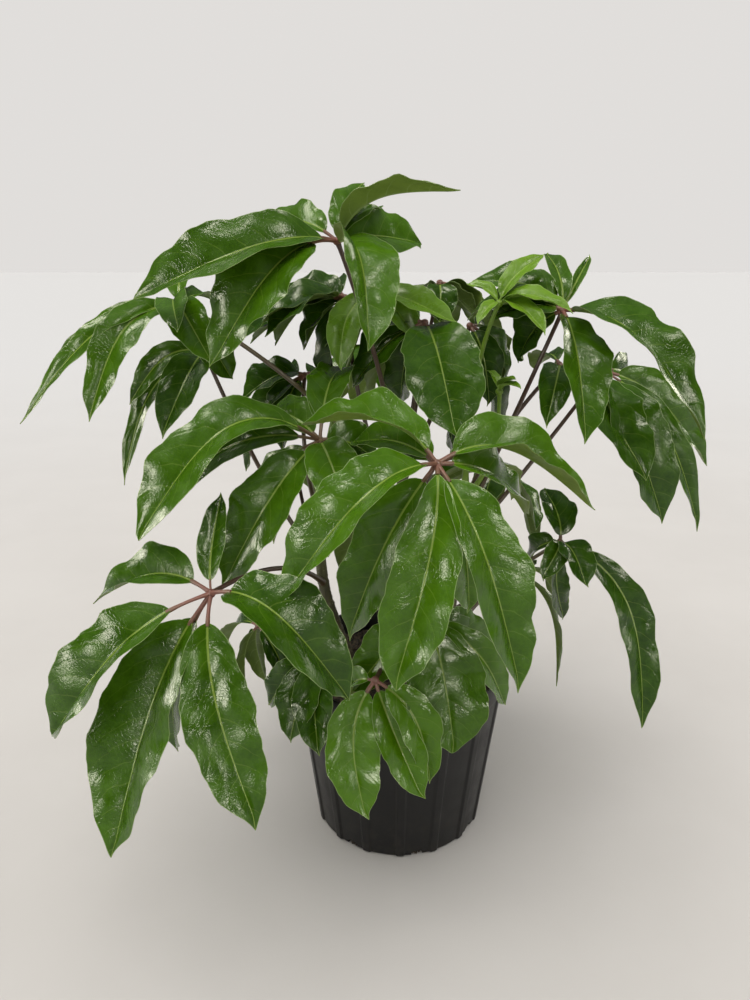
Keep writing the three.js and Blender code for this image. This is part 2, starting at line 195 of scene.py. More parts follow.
def make_settled_dust():
    """Pale dust and splashed soil: thick near the floor and on what faces up, broken up by a fine noise."""
    tree, given, out = group("settled_dust", {"Low": 0.0, "High": 0.1, "Amount": 0.5}, ["Mask"])
    place = place_on(tree)
    height = axes_of(tree, place)["Z"]
    facing_up = axes_of(tree, add(tree, "ShaderNodeNewGeometry", {}).outputs["Normal"])["Z"]
    low = rest_of(tree, fade(tree, height, given["Low"], given["High"]))
    settled = maths(tree, "ADD", low, fade(tree, facing_up, 0.3, 1.0))
    patches = fade(tree, noise(tree, place, 60.0, 8.0, 0.7), 0.42, 0.68)
    tree.links.new(times(tree, times(tree, settled, patches), given["Amount"]), out["Mask"])
    return tree


def make_pot_plastic():
    material, tree, shader = new_material("black_polypropylene")
    place = place_on(tree)
    dust = use(tree, SETTLED_DUST, {"Low": 0.0, "High": 0.1, "Amount": 0.2})["Mask"]
    drawn_out = stretch(tree, place, (1.0, 1.0, 0.12))
    scuffs = fade(tree, noise(tree, drawn_out, 90.0, 6.0, 0.6), 0.55, 0.8)
    worn = blend(tree, scuffs, (0.004, 0.004, 0.0045, 1), (0.010, 0.010, 0.011, 1))
    dusty = blend(tree, dust, worn, (0.075, 0.06, 0.045, 1))
    mottled = fade(tree, noise(tree, place, 22.0, 3.0), 0.3, 0.7, 0.32, 0.46)
    give_surface(tree, shader, dusty, maths(tree, "ADD", mottled, times(tree, dust, 0.35)), 0.35)
    grain = noise(tree, place, 900.0, 3.0)
    relief = maths(tree, "ADD", times(tree, grain, 0.3), noise(tree, drawn_out, 45.0, 2.0))
    give_relief(tree, shader, relief, 0.25, 0.0012)
    return material


def pot_profile():
    """Rows of (radius, height, share of the rib's rise), from the middle of the underside, out, up and in."""
    def wall_radius(height):
        return BASE_RADIUS + (NECK_RADIUS - BASE_RADIUS) * height / NECK

    rows = [(0, 0, 0), (60 * MM, 0, 0), (100 * MM, 0, 0), (106.5 * MM, 0, 0.2), (108.5 * MM, 0.6 * MM, 0.6)]
    heights = [2.5, 6, 10, 14, 25, 45, 70, 95, 120, 145, 170, 185, 194, 199]
    rows += [(wall_radius(z * MM), z * MM, 1) for z in heights]
    rows += [(wall_radius(NECK) + 0.2 * MM, NECK - 1 * MM, 0.7), (LIP_RADIUS - 2.2 * MM, NECK, 0)]
    rows += [(LIP_RADIUS - 0.6 * MM, NECK + 0.8 * MM, 0), (LIP_RADIUS, NECK + 2.5 * MM, 0)]
    rows += [(LIP_RADIUS - 0.3 * MM, LIP - 12 * MM, 0), (LIP_RADIUS, LIP - 3 * MM, 0)]
    rows += [(LIP_RADIUS - 0.7 * MM, LIP - 0.8 * MM, 0), (LIP_RADIUS - 2 * MM, LIP, 0)]
    rows += [(LIP_RADIUS - 3.5 * MM, LIP - 0.6 * MM, 0), (LIP_RADIUS - 4 * MM, LIP - 2.5 * MM, 0)]
    rows += [(NECK_RADIUS - WALL + 0.5 * MM, NECK + 2 * MM, 0), (NECK_RADIUS - WALL, NECK - 3 * MM, 1)]
    rows += [(wall_radius(120 * MM) - WALL, 120 * MM, 1), (BASE_RADIUS - WALL, POT_FLOOR + 2 * MM, 1)]
    rows += [(BASE_RADIUS - WALL - 2 * MM, POT_FLOOR, 0), (60 * MM, POT_FLOOR, 0), (0, POT_FLOOR, 0)]
    return rows


def make_drain_cutter():
    """Arched blocks that stand through the foot of the wall, one for each drain hole."""
    cutter = bmesh.new()
    arch = [(-DRAIN_HALF_WIDTH, -DRAIN_HEIGHT), (DRAIN_HALF_WIDTH, -DRAIN_HEIGHT),
            (DRAIN_HALF_WIDTH, DRAIN_HEIGHT * 0.45)]
    arch += [(DRAIN_HALF_WIDTH * math.cos(a), DRAIN_HEIGHT * (0.45 + 0.55 * math.sin(a)))
             for a in np.radians([22, 45, 68, 90, 112, 135, 158])]
    arch.append((-DRAIN_HALF_WIDTH, DRAIN_HEIGHT * 0.45))
    for drain in range(DRAINS):
        turn = math.radians(360 / DRAINS * drain + 180 / RIBS)
        rings = []
        for radius in (BASE_RADIUS - 8 * MM, BASE_RADIUS + 8 * MM):
            rings.append([cutter.verts.new((radius * math.cos(turn) - across * math.sin(turn),
                                            radius * math.sin(turn) + across * math.cos(turn), up))
                          for across, up in arch])
        inner, outer = rings
        cutter.faces.new(inner[::-1])
        cutter.faces.new(outer)
        for i in range(len(arch)):
            j = (i + 1) % len(arch)
            cutter.faces.new((inner[i], inner[j], outer[j], outer[i]))
    bmesh.ops.recalc_face_normals(cutter, faces=cutter.faces)
    mesh = bpy.data.meshes.new("drain_cutter")
    cutter.to_mesh(mesh)
    cutter.free()
    return new_object("drain_cutter", mesh)


def make_pot():
    """The pot's wall turned round its axis, its ribs raised, its drain holes cut."""
    sharp = 35  # degrees
    flank = [0, 0.8, 1.7, 2.1, 2.3, 2.75, 3.2, 3.4, 3.8, 5.0, 7.0, 9.2]  # degrees from a rib's middle
    turns = sorted([-a for a in flank[1:]] + flank)
    angles = np.radians([360 / RIBS * rib + turn for rib in range(RIBS) for turn in turns])
    crest = np.tile([1 - np.clip((abs(turn) - RIB_TOP) / RIB_FLANK, 0, 1) for turn in turns], RIBS)
    crest = crest * crest * (3 - 2 * crest)
    profile = pot_profile()
    points = []
    for radius, height, share in profile:
        radii = radius + share * RIB_RISE * crest
        level = np.full_like(angles, height)
        points.append(np.stack([radii * np.cos(angles), radii * np.sin(angles), level], -1))
    faces = grid_faces(len(profile), len(angles), wrap=True)
    plastic = make_pot_plastic()
    pot = mesh_piece("nursery_pot", np.concatenate(points), faces[:, ::-1], [plastic], crease=sharp)

    joined = bmesh.new()
    joined.from_mesh(pot.data)
    bmesh.ops.remove_doubles(joined, verts=joined.verts, dist=1e-6)
    bmesh.ops.recalc_face_normals(joined, faces=joined.faces)
    joined.to_mesh(pot.data)
    joined.free()

    tool = make_drain_cutter()
    cut = pot.modifiers.new("drains", "BOOLEAN")
    cut.object = tool
    cut.operation = "DIFFERENCE"
    cut.solver = "EXACT"
    bpy.context.view_layer.update()
    drained = bpy.data.meshes.new_from_object(pot.evaluated_get(bpy.context.evaluated_depsgraph_get()))
    pot.modifiers.clear()
    pot.data = drained
    bpy.data.objects.remove(tool)
    drained.shade_smooth()
    drained.set_sharp_from_angle(angle=math.radians(sharp))
    return pot


SETTLED_DUST = make_settled_dust()
pot = make_pot()
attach(pot, "root")
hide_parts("pot")

# ---- The soil ----
# Bark potting mix: dark composted bark with chips of every size lying loose on top. It fills the pot to a few
# centimetres under the lip, and a few crumbs show in the drain holes.

SOIL_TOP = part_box("soil")[1].z
SOIL_FOOT = 107 * MM  # radius of the mix at the pot's floor


def soil_height(share):
    """How high the mix stands, by the share of the way from the pot's axis to its wall: lower at the wall."""
    return SOIL_TOP - 2 * MM - 5 * MM * share * share


def make_bark(name, dark, light):
    material, tree, shader = new_material(name)
    place = place_on(tree)
    tone = fade(tree, noise(tree, place, 140.0, 5.0, 0.65), 0.35, 0.7)
    give_surface(tree, shader, blend(tree, tone, dark, light), 0.9)
    fibres = noise(tree, stretch(tree, place, (1.0, 4.0, 1.0)), 420.0, 6.0, 0.7)
    give_relief(tree, shader, fibres, 0.8, 0.0015)
    return material


def make_soil():
    """The body of the mix, lumpy on top."""
    low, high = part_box("soil")
    top_radius = (high.x - low.x) / 2
    turns = np.radians(np.arange(0, 360, 3.75))
    shares = [0.02, 0.12, 0.22, 0.33, 0.44, 0.54, 0.64, 0.73, 0.82, 0.9, 0.96, 0.998]
    rows = [(SOIL_FOOT * 0.02, low.z, 0), (SOIL_FOOT, low.z, 0), (top_radius * 0.995, high.z - 9 * MM, 0)]
    rows += [(top_radius * share, soil_height(share), 1) for share in reversed(shares)]
    random = np.random.default_rng(11)
    points = []
    for radius, height, lumpy in rows:
        lumps = lumpy * random.uniform(-2.5, 2.0, len(turns)) * MM
        points.append(np.stack([radius * np.cos(turns), radius * np.sin(turns), height + lumps], -1))
    faces = grid_faces(len(rows), len(turns), wrap=True).tolist()
    first_of_top = (len(rows) - 1) * len(turns)
    faces += [list(range(len(turns)))[::-1], list(range(first_of_top, first_of_top + len(turns)))]
    bark = make_bark("wet_bark", (0.008, 0.006, 0.004, 1), (0.045, 0.03, 0.018, 1))
    return mesh_piece("bark_mix", np.concatenate(points), faces, [bark])


def make_chips():
    """Loose chips of bark on the surface, each a splintered slab with its own size and tilt."""
    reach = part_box("soil")[1].x
    loose, behind_each_drain = 1100, 9
    random = np.random.default_rng(23)
    box = np.array([[x, y, z] for x in (-1, 1) for y in (-1, 1) for z in (-1, 1)], float)
    sides = np.array([[0, 1, 3, 2], [4, 6, 7, 5], [0, 4, 5, 1], [2, 3, 7, 6], [0, 2, 6, 4], [1, 5, 7, 3]])
    points, faces = [], []

    def chip(centre, length):
        size = length * np.array([0.5, random.uniform(0.22, 0.4), random.uniform(0.08, 0.2)])
        slab = box * size * random.uniform(0.55, 1.0, (8, 3))
        turn, tilt, roll = random.uniform(0, 2 * math.pi), random.normal(0, 0.35), random.normal(0, 0.35)
        c, s = math.cos, math.sin
        spin = np.array([[c(turn), -s(turn), 0], [s(turn), c(turn), 0], [0, 0, 1]])
        lean = np.array([[c(tilt), 0, s(tilt)], [0, 1, 0], [-s(tilt), 0, c(tilt)]])
        rock = np.array([[1, 0, 0], [0, c(roll), -s(roll)], [0, s(roll), c(roll)]])
        faces.append(sides + 8 * len(points))
        points.append(slab @ (spin @ lean @ rock).T + centre)

    for _ in range(loose):
        radius = (reach - 6 * MM) * math.sqrt(random.uniform(0, 1))
        turn = random.uniform(0, 2 * math.pi)
        height = soil_height(radius / reach) + random.uniform(-1.5, 1.5) * MM
        chip([radius * math.cos(turn), radius * math.sin(turn), height], random.gamma(3.0, 2.6) * MM + 3 * MM)
    for drain in range(DRAINS):
        turn = math.radians(360 / DRAINS * drain + 180 / RIBS)
        for _ in range(behind_each_drain):
            beside = random.uniform(-4.5, 4.5) * MM
            centre = [SOIL_FOOT * math.cos(turn) - beside * math.sin(turn),
                      SOIL_FOOT * math.sin(turn) + beside * math.cos(turn), random.uniform(1.5, 5.0) * MM]
            chip(centre, random.uniform(3.0, 6.0) * MM)
    bark = make_bark("dry_bark", (0.02, 0.013, 0.008, 1), (0.13, 0.085, 0.05, 1))
    return mesh_piece("bark_chips", np.concatenate(points), np.concatenate(faces), [bark], crease=30)


for piece in (make_soil(), make_chips()):
    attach(piece, "root")
    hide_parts("soil")

# ---- The stems ----
# Three woody stems grow through the soil: olive-brown bark with pale pores, a ring of scar where each old
# leaf fell, greener towards the growing tip. Each leaf stalk clasps its stem.

# Each stem: the points it grows through in millimetres, and its radius at the foot and at the tip.
STEMS = {
    "left": ([(-58, 0, 110), (-64, 0, 205), (-80, 0, 262), (-96, 0, 320), (-102, 2, 385), (-100, 5, 455)],
             9.5, 5.5),
    "middle": ([(8, -5, 110), (6, -5, 205), (2, -3, 300), (0, 0, 400), (3, 4, 490)], 10.0, 5.5),
    "right": ([(58, 15, 110), (62, 15, 205), (68, 13, 300), (74, 11, 380), (80, 8, 460)], 9.5, 5.5),
}


def unit(vectors):
    return vectors / np.maximum(np.linalg.norm(vectors, axis=-1, keepdims=True), 1e-9)


def stem_line(knots, count):
    """Points on the smooth curve through a stem's knots."""
    knots = np.array(knots, float) * MM
    padded = np.vstack([2 * knots[0] - knots[1], knots, 2 * knots[-1] - knots[-2]])
    spots = np.linspace(0, len(knots) - 1, count)
    span = np.minimum(spots.astype(int), len(knots) - 2)
    t = (spots - span)[:, None]
    a, b, c, d = (padded[span + i] for i in range(4))
    return 0.5 * (2 * b + (c - a) * t + (2 * a - 5 * b + 4 * c - d) * t ** 2
                  + (3 * b - 3 * c + d - a) * t ** 3)


def tube(line, radii, sides):
    """Points and faces of a closed round tube along a line of points."""
    ahead = unit(np.gradient(line, axis=0))
    across = unit(np.cross((0.31, 0.95, 0.05), ahead))
    over = np.cross(ahead, across)
    turns = np.linspace(0, 2 * math.pi, sides, endpoint=False)
    ring = across[:, None] * np.cos(turns)[None, :, None] + over[:, None] * np.sin(turns)[None, :, None]
    points = (line[:, None] + ring * np.asarray(radii, float).reshape(len(line), -1, 1)).reshape(-1, 3)
    last = (len(line) - 1) * sides
    faces = grid_faces(len(line), sides, wrap=True).tolist()
    faces += [list(range(sides))[::-1], list(range(last, last + sides))]
    return points, faces


def make_stem_bark():
    material, tree, shader = new_material("olive_stem_bark")
    place = place_on(tree)
    streaks = stretch(tree, place, (1.0, 1.0, 0.18))
    tone = fade(tree, noise(tree, streaks, 160.0, 5.0, 0.6), 0.3, 0.7)
    woody = blend(tree, tone, (0.055, 0.042, 0.016, 1), (0.15, 0.115, 0.045, 1))
    green = blend(tree, tone, (0.05, 0.065, 0.014, 1), (0.12, 0.15, 0.035, 1))
    aged = blend(tree, fade(tree, axes_of(tree, place)["Z"], 0.24, 0.46), woody, green)
    cells = add(tree, "ShaderNodeTexVoronoi", {"Vector": place, "Scale": 230.0}).outputs["Distance"]
    pores = rest_of(tree, fade(tree, cells, 0.12, 0.22))
    coloured = blend(tree, times(tree, pores, 0.6), aged, (0.3, 0.25, 0.15, 1))
    dust = use(tree, SETTLED_DUST, {"Low": 0.2, "High": 0.26, "Amount": 0.5})["Mask"]
    give_surface(tree, shader, blend(tree, dust, coloured, (0.1, 0.075, 0.05, 1)), 0.62)
    relief = maths(tree, "ADD", noise(tree, streaks, 300.0, 5.0, 0.65), pores)
    give_relief(tree, shader, relief, 0.5, 0.0008)
    return material


def make_stem(name, knots, foot_radius, tip_radius, bark, seed):
    """A stem with a scar ring every few centimetres and a blunt growing tip."""
    count, sides = 150, 20
    line = stem_line(knots, count)
    share = np.linspace(0, 1, count)
    radii = (foot_radius + (tip_radius - foot_radius) * share) * MM
    random = np.random.default_rng(seed)
    run = np.concatenate([[0], np.cumsum(np.linalg.norm(np.diff(line, axis=0), axis=1))])
    scar = 20 * MM
    while scar < run[-1]:
        radii += 0.7 * MM * np.exp(-((run - scar) / (1.8 * MM)) ** 2)
        radii -= 0.5 * MM * np.exp(-((run - scar - 4 * MM) / (2.5 * MM)) ** 2)
        scar += random.uniform(22, 38) * MM
    radii *= np.sqrt(np.clip((run[-1] + 1 * MM - run) / (9 * MM), 0.0, 1.0))
    turns = np.linspace(0, 2 * math.pi, sides, endpoint=False)
    uneven = 1 + 0.04 * np.sin(2 * turns[None] + 9 * share[:, None])
    uneven = uneven + 0.02 * random.standard_normal((count, sides))
    return mesh_piece(name, *tube(line, radii[:, None] * uneven, sides), [bark])


stem_bark = make_stem_bark()
for seed, (side, (knots, foot_radius, tip_radius)) in enumerate(STEMS.items()):
    stem = make_stem(f"woody_stem_{side}", knots, foot_radius, tip_radius, stem_bark, seed)
    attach(stem, "root")
    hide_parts(f"stem_{side}")

# ---- The leaves ----
# Compound leaves, each grown in one piece: a long dark stalk, a small knob, and leathery leaflets on short
# stalks of their own that spread like an umbrella. A leaflet is folded along its pale midrib, arched and
# wavy at the edge, glossy above and paler below.

# Each leaf: the stem and the height it grows from, the point its stalk bends through, its knob, the direction
# it faces, how fresh and how lit its green is and how red its stalk (0 to 1), and its leaflets, all in
# millimetres. The green's number is partly the leaf's age and partly painted shade: leaves deep inside the
# plant and low under it are given a darker green. A leaflet is its tip from the knob, its width and how high it
# arches, as a share of its
# length. Some have more: bend, how far they bend to the left, and bare, how much is bare stalk, as shares
# of their length too; fold and roll in degrees; and swell and taper, the larger the slimmer the base and
# the tip. An even whorl has instead: leaflets, length, width, and degrees of droop and turn. The knobs and
# tips that show in the photograph were read off it and turned into millimetres through the camera below. The
# shapes of the leaflets in front started from a search; many were then changed.
LEAVES = [
    dict(name="leaf_front", on=("middle", 385), via=(30, -110, 520), hub=(27, -190, 539),
         face=(0, -0.7, 1), fresh_and_lit=0.65, red=0.7, leaflets=[
        (-134, 50, 27, 50, 0.18, dict(bend=-0.06, roll=14, fold=38, taper=0.8)),
        (172, 50, -64, 64, 0.09, dict(bend=0.15, roll=-13, fold=38, taper=1.1)),
        (-148, -70, -114, 64, 0.25, dict(bend=0.02, roll=13, fold=30, taper=0.75)),
        (-42, -90, -191, 60, 0.13, dict(bend=0.05, roll=3, fold=22, taper=0.65, swell=0.8, bare=0.05)),
        (80, -70, -205, 64, 0.14, dict(roll=-14, fold=25, taper=0.8)),
        (-89, 20, -198, 62, 0.1), (108, 90, -82, 54, 0.12),
        (43, 40, -177, 60, 0.1), (-84, 90, 0, 46, 0.12),
        (-50, 110, -40, 50, 0.1), (119, 220, -107, 44, 0.1)]),
    dict(name="leaf_lower_left", on=("left", 330), via=(-130, -120, 425), hub=(-190, -220, 418),
         face=(-0.2, -0.8, 1), fresh_and_lit=0.35, bare=0.12, leaflets=[
        (-139, 60, -36, 54, 0.1, dict(bend=-0.1, roll=12, fold=33, taper=1.1)),
        (-150, -50, -126, 70, 0.16, dict(roll=9, fold=30, taper=0.52, bare=0.17)),
        (-92, -90, -233, 85, 0.02, dict(bend=-0.05, roll=4, fold=28, taper=0.75)),
        (49, -90, -200, 62, 0.06, dict(bend=-0.05, roll=-16, fold=20, taper=0.72)),
        (135, -50, -85, 68, 0.34, dict(bend=0.06, roll=-21, fold=28, taper=0.75)),
        (5, 55, 85, 26, 0.05, dict(bend=0.02, roll=8, fold=20)),
        (-62, 40, -208, 55, 0.1)]),
    dict(name="leaf_mid_left", on=("left", 440), via=(-95, -60, 520), hub=(-90, -110, 543),
         face=(-0.1, -0.8, 1), fresh_and_lit=0.55, red=0.35, leaflets=[
        (-173, -90, -75, 60, 0.26, dict(bend=-0.1, fold=20, roll=5, taper=0.46)),
        (-188, -10, -80, 42, 0.22, dict(roll=-6, fold=20, taper=0.6)),
        (-102, -50, -145, 58, 0.16, dict(bend=0.04, roll=-5, fold=20, bare=0.1)),
        (35, -70, -64, 50), (-65, 80, 14, 45), (21, 170, 54, 46), (60, 30, -30, 50),
        (-106, 150, -177, 40, 0.1)]),
    dict(name="leaf_top", on=("middle", 460), via=(-18, -40, 600), hub=(-71, -60, 742),
         face=(-0.1, -0.7, 1), fresh_and_lit=0.5, leaflets=[
        (-198, -60, -54, 64, 0.14, dict(bend=0.08, fold=26, roll=-8, taper=0.58)),
        (-123, -80, -118, 74, 0.19, dict(bend=0.02, roll=-4, fold=20, taper=0.85, bare=0.17)),
        (-92, 90, 22, 44, 0.1, dict(bare=0.12)),
        (34, -110, -98, 62, 0.16, dict(bend=0.08, roll=-34, fold=32, bare=0.03)),
        (121, -40, 46, 46, 0.14, dict(bend=0.08, roll=-40, fold=24)), (46, 60, 36, 34),
        (26, 50, 61, 30), (91, 80, 0, 60, 0.05, dict(roll=20))]),
    dict(name="leaf_far_left", on=("middle", 440), via=(-90, 0, 580), hub=(-248, -20, 674),
         face=(-0.2, -0.9, 0.9), fresh_and_lit=0.55, red=0.45, leaflets=[
        (-170, -60, -120, 26, 0.17, dict(fold=16, taper=1.0)),
        (-84, -90, -110, 40, 0.18, dict(bend=-0.06, roll=-18, fold=20, taper=0.8)),
        (-159, 20, -58, 24, 0.06, dict(bend=-0.05, roll=-14, fold=18, taper=1.0)),
        (21, -100, -17, 34), (-7, 80, 37, 30), (27, 60, 3, 28), (50, -90, -50, 40),
        (45, 40, -88, 38)]),
    dict(name="leaf_left", on=("left", 355), via=(-170, 10, 450), hub=(-234, 20, 619),
         face=(-0.2, -0.9, 0.9), fresh_and_lit=0.3, leaflets=[
        (-83, -40, -54, 30, 0.21, dict(bend=-0.04, roll=-15, fold=18)),
        (-97, -50, -148, 26, 0.1, dict(bend=-0.1, fold=16)),
        (-35, -90, -83, 48, 0.13, dict(bend=0.05, roll=-5, fold=20)), (-40, 90, -60, 50)]),
    dict(name="leaf_upper_right", on=("right", 395), via=(125, -10, 530), hub=(177, -20, 670),
         face=(0.1, -0.8, 1), fresh_and_lit=0.35, leaflets=[
        (144, -80, -127, 68, 0.21, dict(bend=-0.03, roll=-10, fold=25, taper=0.78, bare=0.05)),
        (11, -100, -128, 60, 0.09, dict(roll=-16, fold=28, taper=0.8)), (-96, 50, 30, 45),
        (-96, 80, -15, 60), (43, 60, 59, 12, 0.1), (-8, 70, 62, 24), (-80, 20, -10, 56),
        (-40, 40, -62, 50)]),
    dict(name="leaf_right", on=("right", 370), via=(140, 35, 440), hub=(249, 50, 593),
         face=(0.3, -0.9, 0.8), fresh_and_lit=0.35, leaflets=[
        (165, 40, -134, 60, 0.08, dict(bend=0.04, roll=-2, fold=26)),
        (34, -100, -111, 64, 0.05, dict(bend=-0.12, roll=6, fold=24, taper=0.7)),
        (75, -60, -178, 74, 0.12, dict(bend=-0.07, roll=3, fold=24, taper=0.75)),
        (134, -30, -198, 36, 0.12, dict(bend=0.02)), (60, 120, -60, 55)]),
    dict(name="leaf_right_small", on=("right", 432), via=(125, 60, 520), hub=(188, 20, 604),
         face=(0, -0.7, 1), fresh_and_lit=0.2, leaflets=[
        (-30, -80, -58, 38), (15, 75, -65, 30), (-10, 95, -20, 36)]),
    dict(name="leaf_lower_right", on=("right", 280), via=(130, 25, 325), hub=(211, 40, 371),
         face=(0.3, -0.8, 1), fresh_and_lit=0.25, red=0.5, leaflets=[
        (117, -60, -242, 46, 0.1, dict(bend=0.12, roll=18, fold=20, taper=0.6)),
        (22, -60, -38, 44), (-13, 60, 56, 46),
        (25, 40, -133, 32, 0.02, dict(bend=-0.12, roll=10, fold=16)), (-33, -50, -32, 30),
        (-30, 50, -56, 42)]),
    dict(name="leaf_low_back_right", on=("right", 240), via=(120, 70, 290), hub=(170, 110, 300),
         face=(0.3, 0.3, 1), fresh_and_lit=0.15, leaflets=[
        (54, -70, -146, 32), (-20, 60, -110, 45), (90, 60, -100, 45), (20, 100, -60, 45)]),
    dict(name="leaf_centre", on=("middle", 480), via=(15, 10, 560), hub=(25, 0, 655),
         face=(0, -0.6, 1), fresh_and_lit=0.25, leaflets=[
        (26, -130, -104, 77, 0.1, dict(roll=5, fold=18, taper=0.58)), (-60, 80, -100, 60),
        (-38, 110, -90, 56), (50, 60, -150, 50, 0.05),
        (-85, 20, -78, 60, 0.1), (-26, 40, -101, 60, 0.1),
        (-125, 60, -38, 56, 0.1), (44, 70, -174, 62, 0.06)]),
    dict(name="leaf_young_centre", on=("left", 450), via=(-85, 5, 560), hub=(-35, 20, 688),
         face=(0, -0.6, 1), fresh_and_lit=0.45, red=0.0, young=True, leaflets=[
        (-37, -70, -79, 36, 0.03, dict(bend=-0.12, roll=-10, fold=20)),
        (91, -55, -30, 38, 0.06), (64, -30, -71, 34, 0.1)]),
    dict(name="leaf_young_right", on=("right", 455), via=(75, -10, 600), hub=(104, -30, 678),
         face=(0, -0.5, 1), fresh_and_lit=0.9, red=0.0, young=True, leaflets=[
        (51, 20, 51, 24), (73, -40, -6, 26), (44, -50, -28, 24), (-28, -30, -19, 14),
        (-35, 20, 20, 16)]),
    dict(name="leaf_bud_right", on=("right", 440), via=(118, -15, 490), hub=(111, -20, 579),
         face=(0, -0.5, 1), fresh_and_lit=0.9, red=0.0, young=True, leaflets=[
        (-8, 34, 20, 10), (13, -32, 20, 10), (18, -40, 11, 12)]),
    dict(name="leaf_top_back_left", on=("middle", 405), via=(-60, 60, 540), hub=(-67, 30, 681),
         face=(-0.3, -0.4, 1), fresh_and_lit=0.15, leaflets=[
        (-90, -40, -41, 62), (-76, 30, 10, 52, 0.03), (-52, 10, -62, 62, 0.1),
        (-30, 120, -30, 50), (-119, 30, -54, 66, 0.1),
        (-90, 40, -58, 60, 0.16), (-130, -20, -52, 60, 0.12),
        (-22, 15, -115, 50, 0.06)]),
    dict(name="leaf_low_front", on=("middle", 250), via=(-10, -90, 290), hub=(-32, -170, 292),
         face=(0, -0.8, 1), fresh_and_lit=0.9, leaflets=[
        (-10, -50, -140, 56, 0.03, dict(bend=-0.12, fold=20, taper=0.75)),
        (52, -40, -123, 46, 0.03, dict(bend=-0.02, roll=-6, fold=22)), (-26, 60, -59, 32),
        (62, -16, -120, 44, 0.12, dict(bend=0.1))]),
    dict(name="leaf_low_front_right", on=("right", 255), via=(60, -70, 330), hub=(25, -120, 345),
         face=(0, -0.8, 1), fresh_and_lit=0.7, leaflets=[
        (31, -60, -138, 82, 0.08, dict(bend=0.02, roll=8, fold=16, taper=0.62)),
        (60, 60, -110, 50), (-83, -10, -95, 52, 0.12),
        (99, 15, -128, 36, 0.2), (94, 60, -86, 42, 0.1)]),
    dict(name="leaf_low_left", on=("left", 240), via=(-85, -45, 285), hub=(-104, -85, 268),
         face=(-0.2, -0.8, 1), fresh_and_lit=0.1, leaflets=[
        (-28, -50, -80, 50, 0.1), (7, -70, -84, 46, 0.1),
        (-60, 10, -70, 40)]),
    dict(name="leaf_low_back_left", on=("left", 270), via=(-140, 60, 270), hub=(-202, 100, 218),
         face=(-0.4, 0.1, 1), fresh_and_lit=0.1, leaflets=[
        (-24, 0, -108, 34, 0.1), (4, 25, -110, 34, 0.1),
        (46, -20, -87, 38, 0.1), (-60, 60, -60, 40)]),
    dict(name="leaf_top_back", on=("middle", 438), via=(20, 80, 560), hub=(51, 120, 695),
         face=(0, 0.2, 1), fresh_and_lit=0.15, leaflets=[
        (-50, -10, -34, 40, 0.02), (50, -10, -38, 42, 0.02),
        (20, 110, -78, 50, 0.02), (-70, 90, -70, 50, 0.02),
        (95, 80, -88, 50, 0.02), (0, -25, -47, 40), (58, -14, -61, 44)]),
    dict(name="leaf_inner_right", on=("middle", 465), via=(50, 50, 560), hub=(82, 40, 648),
         face=(0, -0.6, 1), fresh_and_lit=0.1, leaflets=[
        (25, -20, -93, 40), (50, 30, -80, 42), (45, 90, -70, 45),
        (56, 70, -174, 50, 0.04)]),
    dict(name="leaf_inner_left", on=("left", 420), via=(-130, 50, 480), hub=(-120, 60, 586),
         face=(-0.2, -0.5, 1), fresh_and_lit=0.15, leaflets=[
        (-77, -24, -26, 54), (-50, 80, -60, 55), (40, 66, -45, 50), (-30, -15, -95, 50),
        (-80, 0, -126, 52)]),
    dict(name="leaf_back_left", on=("left", 300), via=(-130, 100, 380), hub=(-150, 190, 440),
         face=(-0.4, 0.5, 1), fresh_and_lit=0.3, whorl=(6, 150, 54, 38, 10)),
    dict(name="leaf_back", on=("middle", 360), via=(0, 90, 480), hub=(-5, 235, 600),
         face=(0, 0.15, 1), fresh_and_lit=0.35, whorl=(7, 165, 62, 38, 12)),
    dict(name="leaf_back_right", on=("right", 320), via=(110, 100, 380), hub=(145, 210, 415),
         face=(0.4, 0.5, 1), fresh_and_lit=0.3, whorl=(6, 140, 52, 35, 25)),
    dict(name="leaf_low_back", on=("middle", 280), via=(-10, 90, 330), hub=(-20, 220, 350),
         face=(0, 0.6, 1), fresh_and_lit=0.25, whorl=(6, 130, 48, 40, 15)),
]

FOLD = 21  # degrees that each half rises from the midrib
USUAL_RED = 0.9  # how red a leaf's stalk is
BARE = 0.08  # share of a leaflet's length that is its bare stalk
USUAL_ARCH = 0.15  # how high a leaflet stands over its chord, as a share of its length
USUAL_SWELL = 0.58  # how slim a blade is at its base
FULLER = 1.12  # how much wider every blade is than its row says
WAVE, WAVES = 0.055, 2.3  # rise of the wavy edge as a share of the width, and waves along one edge
RIPPLE, RIPPLES = 0.011, 6.3  # the same for the small ripples at the very edge
QUILT = 0.16  # millimetres that the blade rises and sinks between its side veins
VEIN_SPACING = 21.0  # millimetres between side veins
VEIN_OFFSET = 0.4  # how far the right half's side veins sit behind the left half's, in vein spacings
BLADE_THICKNESS = 0.45  # millimetres
LONG_BLADE = 140  # millimetres of length from which a blade has more rows of points
UPPER_SIDE, UNDER_SIDE, STALK = 0, 1, 2  # places in a leaf's list of materials


def smooth(x, start, end):
    x = np.clip((x - start) / (end - start), 0, 1)
    return x * x * (3 - 2 * x)


def bulge(t):
    """How high a leaflet's middle line stands over its chord, as a share of its arch."""
    return 4 * t * (1 - t) * (1.5 - t)


def bulge_rate(t):
    return 4 * (1.5 - 5 * t + 3 * t * t)


def outline(s, swell, taper):
    """Share of the blade's full width from its rounded base (0) to its drawn-out tip (1)."""
    widest = swell / (swell + taper)
    full = widest ** swell * (1 - widest) ** taper
    return s ** swell * (1 - s) ** taper / full * (1 - 0.55 * smooth(s, 0.84, 1.0))


